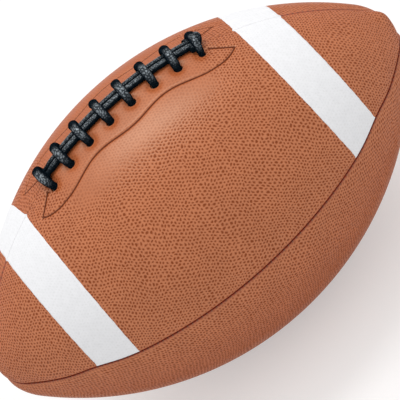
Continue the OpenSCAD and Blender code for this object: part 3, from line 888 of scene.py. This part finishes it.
class Shader:
    """Builds the nodes of one material or world."""

    def __init__(self, owner):
        self.owner = owner
        owner.use_nodes = True
        self.tree = owner.node_tree
        self.tree.nodes.clear()

    def node(self, kind, settings=None, inputs=None):
        made = self.tree.nodes.new("ShaderNode" + kind)
        for name, value in (settings or {}).items():
            setattr(made, name, value)
        for name, value in (inputs or {}).items():
            self.feed(made.inputs[name], value)
        return made

    def feed(self, socket, value):
        if isinstance(value, bpy.types.NodeSocket):
            self.tree.links.new(value, socket)
        else:
            socket.default_value = value

    def math(self, operation, a, b=0.0):
        return self.node("Math", {"operation": operation}, {0: a, 1: b}).outputs[0]

    def times(self, a, b):
        return self.math("MULTIPLY", a, b)

    def plus(self, a, b):
        return self.math("ADD", a, b)

    def vector(self, operation, a, b, output="Vector"):
        return self.node("VectorMath", {"operation": operation}, {0: a, 1: b}).outputs[output]

    def dot(self, a, b):
        return self.vector("DOT_PRODUCT", a, b, "Value")

    def grain(self):
        """The grain map, in millimetres."""
        return self.node("UVMap", {"uv_map": "grain"}).outputs["UV"]

    def place(self):
        return self.node("TexCoord").outputs["Object"]

    def value(self, name):
        return self.node("Attribute", {"attribute_type": "GEOMETRY", "attribute_name": name}).outputs["Fac"]

    def noise(self, vector, scale, detail=2.0, flat=True, colour=False):
        settings = {"noise_dimensions": "2D" if flat else "3D"}
        made = self.node("TexNoise", settings, {"Vector": vector, "Scale": scale, "Detail": detail})
        return made.outputs["Color" if colour else "Fac"]

    def between(self, value, low, high, to_low=0.0, to_high=1.0):
        """A smooth step from one result to another, as a value goes from low to high."""
        ends = {"From Min": low, "From Max": high, "To Min": to_low, "To Max": to_high}
        made = self.node("MapRange", {"interpolation_type": "SMOOTHSTEP"}, {"Value": value, **ends})
        return made.outputs["Result"]

    def by_share(self, share, at_none, at_full):
        return self.between(share, 0.0, 1.0, at_none, at_full)

    def mix(self, share, a, b):
        made = self.node("Mix", {"data_type": "RGBA"})
        self.feed(made.inputs[0], share)
        self.feed(made.inputs[6], a)
        self.feed(made.inputs[7], b)
        return made.outputs[2]

    def surface(self, colour, roughness, height, bump, strength=1.0, sheen=None, mean_sheen=0.5, tint=WHITE):
        """The shader: sheen may vary over the surface, and mean_sheen is its plain value."""
        relief = self.node("Bump", {}, {"Height": height, "Distance": bump, "Strength": strength})
        shader = self.node("BsdfPrincipled", {}, {
            "Base Color": colour, "Roughness": roughness, "Normal": relief.outputs["Normal"],
            "Specular IOR Level": mean_sheen, "Specular Tint": tint,
        })
        if sheen is not None:
            self.feed(shader.inputs["Specular IOR Level"], sheen)
        return self.finish("OutputMaterial", shader)

    def finish(self, output, shader):
        """Joins the last shader to the output, and gives the owner."""
        self.node(output, {}, {"Surface": shader.outputs[0]})
        return self.owner


def new_material(name):
    return Shader(bpy.data.materials.new(name))


# Pebbles: their pitch in millimetres, and how far they wander and jitter, in pitches
LEATHER_PEBBLES = (2.05, 2.6, 0.8)
LACE_PEBBLES = (1.5, 2.0, 1.6)

# Waves per pebble in which they wander, jitter and differ
WANDER_WAVES = 0.07
JITTER_WAVES = 0.6
OWN_WAVES = 0.8
OWN_LEVEL = 1.6
PEBBLE_HEADINGS = (10, 70, 130)


def pebbles(s, pitch, wander, jitter):
    """A level with crests in wandering rows, from -2 up to 3.5, and a slow random value.

    Three waves across one another at sixty degrees leave a crest wherever they meet.
    """
    flat = s.grain()
    moved = flat
    for waves, reach in ((WANDER_WAVES, wander), (JITTER_WAVES, jitter)):
        push = s.vector("SUBTRACT", s.noise(flat, waves / pitch, 1.0, colour=True), (NOISE_MEAN,) * 3)
        moved = s.vector("ADD", moved, s.vector("MULTIPLY", push, (reach * pitch,) * 3))
    wave = 4 * math.pi / (math.sqrt(3) * pitch)
    crests = 0.0
    for degrees in PEBBLE_HEADINGS:
        heading = math.radians(degrees)
        along = s.dot(moved, (wave * math.cos(heading), wave * math.sin(heading), 0))
        crests = s.plus(s.math("COSINE", along), crests)
    own = s.noise(flat, OWN_WAVES / pitch, 1.0)
    return s.plus(crests, s.times(s.math("SUBTRACT", own, NOISE_MEAN), OWN_LEVEL)), own


# The leather's ground, and the flecks, ridges and pits of its grain: the lighter flecks and ridges are
# painted highlight, and the dark pits are partly the grain's own colour and partly painted shade
LEATHER_GROUND = (0.455, 0.113, 0.034, 1), (0.505, 0.131, 0.042, 1)
PAINTED_FLECK_HIGHLIGHT = (0.58, 0.18, 0.065, 1)
PAINTED_RIDGE_HIGHLIGHT = (0.64, 0.20, 0.075, 1)
LEATHER_PIT_AND_SHADE = (0.25, 0.052, 0.013, 1)
FLECK_HIGHLIGHT_SHARE = 0.22
RIDGE_HIGHLIGHT_SHARE = 0.75

# Levels over which the pits deepen and the ridges fade
PIT_LEVELS = (-0.7, 2.1)
RIDGE_LEVELS = (-1.7, -0.2)

# The grain is weaker near the seams and in some pebbles, and by the lacing it is painted weaker where the
# highlight washes it out
SEAM_GRAIN_REACH = (0.4, 3.2)
SEAM_GRAIN = 0.35
LEAST_PEBBLE = 0.72
WASHED_GRAIN = 0.3

# The seams' stain fades away from them, and at each stitch it is darker with painted shade
STAIN_BETWEEN = (0.40, 0.060, 0.022, 1)
PAINTED_STITCH_SHADE = (0.13, 0.014, 0.006, 1)
STAIN_AND_SHADE_REACH = (0.3, 1.3)
STAIN_AND_SHADE_SHARE = 0.9
WASHED_SEAM_REACH = (0.0, 0.5)
WASHED_SEAM_SHARE = 0.15
STITCH_BEAT = (-0.2, 1.0)

# The sheen fades where the rough leather is seen from its side
SHEEN_FALLS = (0.15, 0.75)
LEATHER_SHEEN = (0.85, 0.0425)
FINE_HEIGHT = 0.25
LEATHER_ROUGHNESS = (0.38, 0.44)
LEATHER_MEAN_SHEEN = 0.4
PIT_SHEEN = 0.15
LEATHER_TINT = (1.0, 0.95, 0.75, 1.0)


def leather_material():
    """Orange-brown leather with dark pits that are partly painted shade, painted highlight on its flecks and
    ridges, a grain painted weaker by the lacing where the highlight falls, and stained seams with painted
    shade at each stitch.
    """
    s = new_material("cover_leather")
    flat = s.grain()
    level, own = pebbles(s, *LEATHER_PEBBLES)
    from_seam = s.value("seam_mm")
    highlight_wash = s.value("highlight_wash")
    near_seam = s.between(from_seam, *SEAM_GRAIN_REACH, SEAM_GRAIN, 1.0)
    strength = s.times(near_seam, s.by_share(own, LEAST_PEBBLE, 1.0))
    # Painted highlight: the grain is weaker by the lacing, where the highlight washes it out
    strength = s.times(strength, s.by_share(highlight_wash, 1.0, WASHED_GRAIN))
    pit = s.times(s.between(level, *PIT_LEVELS), strength)
    ridge_share = s.times(s.between(level, *RIDGE_LEVELS, 1.0, 0.0), strength)
    patches = s.noise(flat, 0.05, 3.0)
    fine = s.noise(flat, 2.6)
    colour = s.mix(s.between(patches, 0.35, 0.65), *LEATHER_GROUND)
    # Painted highlight on the raised flecks and ridges, and painted shade partly in the pits
    colour = s.mix(s.between(fine, *NOISE_SPAN, 0.0, FLECK_HIGHLIGHT_SHARE), colour, PAINTED_FLECK_HIGHLIGHT)
    colour = s.mix(s.times(ridge_share, RIDGE_HIGHLIGHT_SHARE), colour, PAINTED_RIDGE_HIGHLIGHT)
    colour = s.mix(pit, colour, LEATHER_PIT_AND_SHADE)
    beat = s.math("COSINE", s.dot(flat, (2 * math.pi * MM / SEAM_STITCH, 0, 0)))
    # Painted shade: a darker spot at each stitch of the seams
    stain_and_shade = s.mix(s.between(beat, *STITCH_BEAT), STAIN_BETWEEN, PAINTED_STITCH_SHADE)
    seam_darkening = s.between(from_seam, *STAIN_AND_SHADE_REACH, STAIN_AND_SHADE_SHARE, 0.0)
    seam_darkening = s.times(seam_darkening, s.between(highlight_wash, *WASHED_SEAM_REACH, 1.0, WASHED_SEAM_SHARE))
    colour = s.mix(seam_darkening, colour, stain_and_shade)
    height = s.math("SUBTRACT", s.times(s.plus(fine, ridge_share), FINE_HEIGHT), pit)
    facing = s.node("LayerWeight", {}, {"Blend": 0.5}).outputs["Facing"]
    sheen = s.times(s.between(facing, *SHEEN_FALLS, *LEATHER_SHEEN), s.by_share(pit, 1.0, PIT_SHEEN))
    return s.surface(
        colour, s.by_share(pit, *LEATHER_ROUGHNESS), height, bump=0.1 * MM, strength=0.8,
        sheen=sheen, mean_sheen=LEATHER_MEAN_SHEEN, tint=LEATHER_TINT,
    )


STRIPE_WHITES = (0.94, 0.94, 0.96, 1), (0.97, 0.97, 0.99, 1)
STRIPE_PIT_SHADE = (0.76, 0.76, 0.75, 1)
STRIPE_SHADE_SHARE = 0.3
STRIPE_PIT_LEVELS = (-0.4, 1.9)


def stripe_material():
    """White paint that keeps a faint grain, with painted grey shade in its pits."""
    s = new_material("stripe_white")
    flat = s.grain()
    level, own = pebbles(s, *LEATHER_PEBBLES)
    pit = s.between(level, *STRIPE_PIT_LEVELS)
    patches = s.noise(flat, 0.2, 3.0)
    colour = s.mix(s.between(patches, *NOISE_SPAN), *STRIPE_WHITES)
    # Painted shade: grey in the pits of the white paint
    colour = s.mix(s.times(pit, s.by_share(own, 0.0, STRIPE_SHADE_SHARE)), colour, STRIPE_PIT_SHADE)
    height = s.math("SUBTRACT", s.times(s.noise(flat, 2.6), 0.12), pit)
    roughness = s.between(patches, *NOISE_SPAN, 0.46, 0.56)
    return s.surface(colour, roughness, height, bump=0.08 * MM, strength=0.5)


# The lace: painted shade between its pebbles, on them, in dull patches, and the grey highlight painted on its
# crowns
LACE_SHADE_DEEP = (0.003, 0.006, 0.009, 1)
LACE_TOP = (0.009, 0.016, 0.024, 1)
LACE_DULL = (0.004, 0.009, 0.013, 1)
LACE_PAINTED_HIGHLIGHT = (0.17, 0.195, 0.215, 1)
LACE_TOP_LEVELS = (-0.6, 1.2)
LACE_TINT = (0.84, 0.93, 1.0, 1.0)
LACE_SHEEN = (0.15, 1.0)
LACE_MEAN_SHEEN = 0.3

# How much of the painted highlight reaches between the pebbles, and how high up a ring it starts
HIGHLIGHT_DEEP = 0.15
HIGHLIGHT_CROWN = (0.55, 1.0)


def lace_material():
    """Black pebbled lace with painted shade between its pebbles, and a grey highlight painted on its crowns,
    which are glossier there.
    """
    s = new_material("lace_black")
    flat = s.grain()
    level, own = pebbles(s, *LACE_PEBBLES)
    top = s.between(s.plus(level, s.between(own, 0.35, 0.65, -0.8, 0.8)), *LACE_TOP_LEVELS)
    fine = s.noise(flat, 3.5)
    highlight_gloss_share = s.times(s.value("lace_highlight_gloss"), s.between(s.value("crown"), *HIGHLIGHT_CROWN))
    # Painted shade: darker between the lace's pebbles and lighter on their raised tops
    colour = s.mix(top, LACE_SHADE_DEEP, LACE_TOP)
    colour = s.mix(s.between(own, 0.45, 0.7, 0.0, 0.5), colour, LACE_DULL)
    # Painted highlight: grey on the crowns of the lace, where they face up to the light
    colour = s.mix(s.times(highlight_gloss_share, s.by_share(top, HIGHLIGHT_DEEP, 1.0)), colour, LACE_PAINTED_HIGHLIGHT)
    height = s.plus(top, s.times(fine, 0.25))
    return s.surface(
        colour, s.between(fine, *NOISE_SPAN, 0.24, 0.34), height, bump=0.2 * MM, strength=0.8,
        sheen=s.times(s.by_share(top, *LACE_SHEEN), highlight_gloss_share), mean_sheen=LACE_MEAN_SHEEN, tint=LACE_TINT,
    )


# Radians per millimetre of a thread's plies, along it and round it
PLY_SLANT = (9.0, 5.0, 0.0)


def thread_material(name, dark, light):
    """Twisted sewing thread: fine slanted plies along its length, painted lighter on their crests and darker
    between them as shade.
    """
    s = new_material(name)
    flat = s.grain()
    ply = s.plus(s.times(s.math("SINE", s.dot(flat, PLY_SLANT)), 0.5), 0.5)
    fuzz = s.noise(flat, 6.0)
    # Painted shade: darker between the plies, lighter on their crests
    colour = s.mix(s.times(ply, s.between(fuzz, 0.2, 0.8, 0.5, 1.0)), dark, light)
    roughness = s.between(fuzz, *NOISE_SPAN, 0.55, 0.75)
    return s.surface(colour, roughness, ply, bump=0.08 * MM, strength=0.8, mean_sheen=0.15)


def rubber_material(name, dark, light, roughness):
    """Moulded rubber with a fine dusty skin."""
    s = new_material(name)
    place = s.place()
    dust = s.noise(place, 900.0, 3.0, flat=False)
    flow = s.noise(place, 60.0, flat=False)
    colour = s.mix(s.between(dust, 0.35, 0.75), dark, light)
    colour = s.mix(s.between(flow, 0.4, 0.7, 0.0, 0.3), colour, light)
    return s.surface(colour, s.between(dust, *NOISE_SPAN, roughness, roughness + 0.12), dust, bump=0.04 * MM)


CLOTH_PITCH = 0.9 * MM
CLOTH_PAINTED_SHADE = (0.46, 0.41, 0.31, 1)
CLOTH_LIGHT = (0.72, 0.67, 0.55, 1)
CLOTH_SLUB = (0.60, 0.53, 0.40, 1)


def cloth_material():
    """Laminated cotton lining with a plain weave, painted darker where the weave dips, as shade."""
    s = new_material("lining_cloth")
    place = s.place()
    turn = 2 * math.pi / CLOTH_PITCH
    warp = s.math("SINE", s.dot(place, (turn, 0, 0)))
    weft = s.math("SINE", s.dot(place, (0, turn, turn)))
    weave = s.plus(s.times(s.times(warp, weft), 0.5), 0.5)
    slub = s.noise(place, 160.0, 3.0, flat=False)
    # Painted shade: darker where the weave dips
    colour = s.mix(s.between(slub, 0.4, 0.8, 0.0, 0.4), s.mix(weave, CLOTH_PAINTED_SHADE, CLOTH_LIGHT), CLOTH_SLUB)
    return s.surface(colour, s.between(slub, *NOISE_SPAN, 0.82, 0.92), weave, bump=0.12 * MM, strength=0.7)


HIDE_DARK = (0.25, 0.12, 0.06, 1)
HIDE_LIGHT = (0.34, 0.18, 0.10, 1)
HIDE_CREASE_SHADE = (0.16, 0.07, 0.035, 1)


def hide_material():
    """Reinforcing leather of the facings and the tongue, with painted shade in its creases."""
    s = new_material("inner_leather")
    place = s.place()
    cells = s.node("TexVoronoi", {"feature": "DISTANCE_TO_EDGE"}, {"Vector": place, "Scale": 1300.0})
    crease = s.between(cells.outputs["Distance"], 0.0, 0.12)
    patches = s.noise(place, 45.0, 4.0, flat=False)
    # Painted shade: darker in the creases
    colour = s.mix(crease, HIDE_CREASE_SHADE, s.mix(s.between(patches, *NOISE_SPAN), HIDE_DARK, HIDE_LIGHT))
    return s.surface(colour, s.between(patches, *NOISE_SPAN, 0.5, 0.66), crease, bump=0.08 * MM, strength=0.6)


def backdrop_rays(s):
    """1 for the rays that show the white backdrop, to the camera and in gloss."""
    rays = s.node("LightPath").outputs
    return s.math("MAXIMUM", rays["Is Camera Ray"], rays["Is Glossy Ray"])


def floor_material():
    """Pale floor: white to the camera, and still shaded by the ball."""
    s = new_material("studio_floor")
    mottle = s.between(s.noise(s.place(), 3.0, flat=False), *NOISE_SPAN)
    matt = s.node("BsdfDiffuse", {}, {"Color": s.mix(mottle, FLOOR_DARK, FLOOR_LIGHT)})
    glow = s.node("Emission", {}, {"Color": WHITE, "Strength": FLOOR_GLOW})
    lit = s.node("AddShader", {}, {0: matt.outputs[0], 1: glow.outputs[0]})
    mixed = s.node("MixShader", {}, {0: backdrop_rays(s), 1: matt.outputs[0], 2: lit.outputs[0]})
    return s.finish("OutputMaterial", mixed)


def camera():
    lens = bpy.data.cameras.new("photo_camera")
    lens.lens = CAMERA_LENS
    lens.clip_start, lens.clip_end = CAMERA_CLIP
    made = linked(bpy.data.objects.new("photo_camera", lens))
    turned = Matrix((CAMERA_RIGHT, CAMERA_UP, CAMERA_BACK)).transposed().to_4x4()
    made.matrix_world = Matrix.Translation(CAMERA_PLACE) @ turned
    bpy.context.scene.camera = made


def world():
    """An even world that is pure white as the backdrop, and dimmer as light."""
    s = Shader(bpy.data.worlds.new("studio"))
    soft = s.node("Background", {}, {"Color": WHITE, "Strength": WORLD_GLOW})
    white = s.node("Background", {}, {"Color": WHITE})
    mixed = s.node("MixShader", {}, {0: backdrop_rays(s), 1: soft.outputs[0], 2: white.outputs[0]})
    bpy.context.scene.world = s.finish("OutputWorld", mixed)


def key_light():
    lamp = bpy.data.lights.new("soft_box", "AREA")
    lamp.shape = "RECTANGLE"
    lamp.size, lamp.size_y = KEY_SIZE
    lamp.energy = KEY_POWER
    made = linked(bpy.data.objects.new("soft_box", lamp))
    direction = KEY_DIRECTION.normalized()
    made.location = Vector((0, 0, BALL_R)) + direction * KEY_DISTANCE
    made.rotation_mode = "QUATERNION"
    made.rotation_quaternion = direction.to_track_quat("Z", "Y")


def studio_floor():
    half = FLOOR_SIZE / 2
    corners = [(-half, -half, 0), (half, -half, 0), (half, half, 0), (-half, half, 0)]
    mesh = bpy.data.meshes.new("studio_floor")
    mesh.from_pydata(corners, [], [(0, 1, 2, 3)])
    made = linked(bpy.data.objects.new("studio_floor", mesh))
    made.data.materials.append(floor_material())


def dress(items, material):
    """Gives pieces, or CAD nodes that are named as text, one material."""
    for item in items:
        made = frame["nodes"][item] if isinstance(item, str) else item
        made.data.materials.clear()
        made.data.materials.append(material)


camera()
world()
key_light()
studio_floor()

laced = [(-LACE_ZONE_HALF, LACE_ZONE_HALF)], [LACE_ZONE], lace_hole_places()
valve_zone = (VALVE_MIDDLE - VALVE_ROOM, VALVE_MIDDLE + VALVE_ROOM)
valved = [(-VALVE_ROOM, VALVE_ROOM)], [valve_zone], [(0.0, VALVE_MIDDLE, VALVE_HOLE_R)]
plain = [], [], []
panels = [
    panel("panel_lace_near", "cover_lace_near", LACE_SEAM, 1, *laced),
    panel("panel_lace_far", "cover_lace_far", LACE_SEAM, -1, *laced),
    panel("panel_belly_near", "cover_belly_near", NEAR_SEAM, 1, *plain),
    panel("panel_belly_far", "cover_belly_far", FAR_SEAM, -1, *valved),
]
dress(panels, leather_material())

sides = {"near": 1, "far": -1}
ends = {"right": 1, "left": -1}
stripes = [
    stripe(f"paint_{side}_{end}", f"stripe_{side}_{end}", sides[side], ends[end])
    for side in sides for end in ends
]
dress(stripes, stripe_material())

dress([lace()], lace_material())

facing_threads = [
    facing_stitches(f"stitches_facing_{side}", f"facing_stitches_{side}", sides[side]) for side in sides
]
dress(facing_threads, thread_material("facing_thread", (0.14, 0.035, 0.015, 1), (0.28, 0.08, 0.034, 1)))

seams = {
    "lace": (LACE_SEAM, SLIT_HALF, LACE_STITCH_DEPTH),
    "near": (NEAR_SEAM, 0.0, STITCH_DEPTH),
    "belly": (BELLY_SEAM, 0.0, STITCH_DEPTH),
    "far": (FAR_SEAM, 0.0, STITCH_DEPTH),
}
seam_threads = [seam_stitches(f"stitches_{name}_seam", *place) for name, place in seams.items()]
seam_nodes = [f"seam_thread_{name}" for name in seams]
dark_thread = thread_material("seam_thread", (0.16, 0.016, 0.006, 1), (0.30, 0.040, 0.016, 1))
dress(seam_threads + seam_nodes, dark_thread)

dress(["lining_lace_near", "lining_lace_far", "lining_belly_near", "lining_belly_far"], cloth_material())
dress(["facing_near", "facing_far", "tongue"], hide_material())
dress(["bladder"], rubber_material("bladder_rubber", (0.20, 0.035, 0.025, 1), (0.30, 0.07, 0.05, 1), 0.6))
dress(["valve_neck"], rubber_material("valve_rubber", (0.012, 0.012, 0.013, 1), (0.04, 0.04, 0.04, 1), 0.5))
dress(["valve_plug"], rubber_material("plug_rubber", (0.18, 0.03, 0.022, 1), (0.30, 0.07, 0.05, 1), 0.55))

bpy.context.scene.view_settings.view_transform = "Standard"
